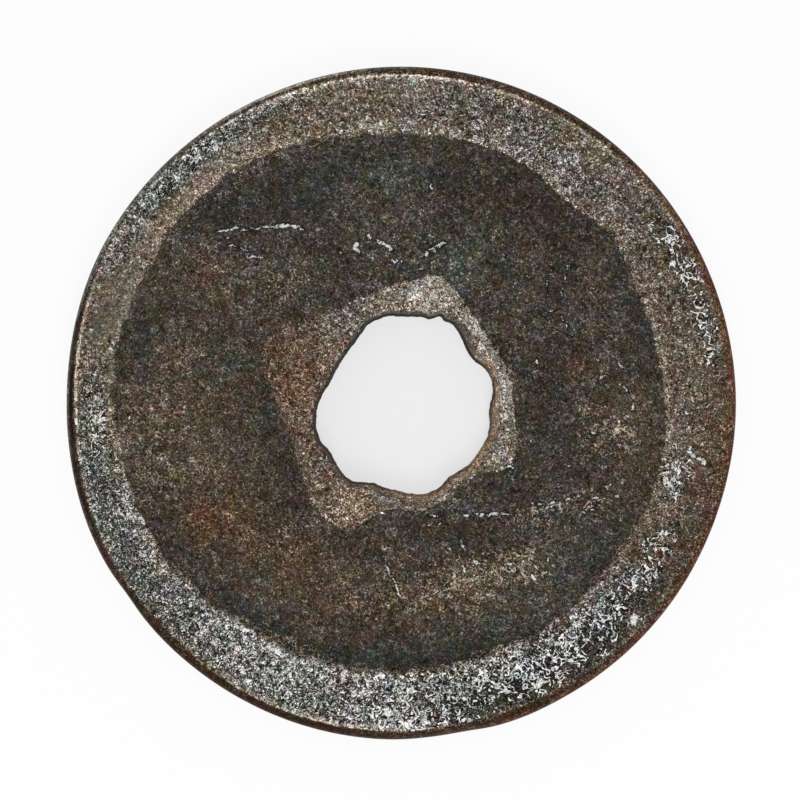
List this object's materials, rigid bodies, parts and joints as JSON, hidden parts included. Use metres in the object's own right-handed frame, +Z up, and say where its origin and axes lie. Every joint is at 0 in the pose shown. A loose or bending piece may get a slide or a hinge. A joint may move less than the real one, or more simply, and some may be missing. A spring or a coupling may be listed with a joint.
{
  "type": "chinese cash coin",
  "caption": "Worn round cast coin with a broad raised rim, flat sunken fields, a raised border around the middle and a rough hole for a cord.",
  "frame": {"origin": "centre of the underside, in the plane of the obverse rim on which the coin lies", "axes": "+Z up through the hole, out of the plain reverse; +X to the right and +Y to the top of the reverse as it is seen from straight above"},
  "size_m": [0.025, 0.025, 0.0014],
  "materials": {
    "patinated_bronze": "worn dark brown patina with bare grey metal showing on the high parts"
  },
  "bodies": {
    "root": {"cast_coin": "patinated_bronze"}
  },
  "joints": []
}
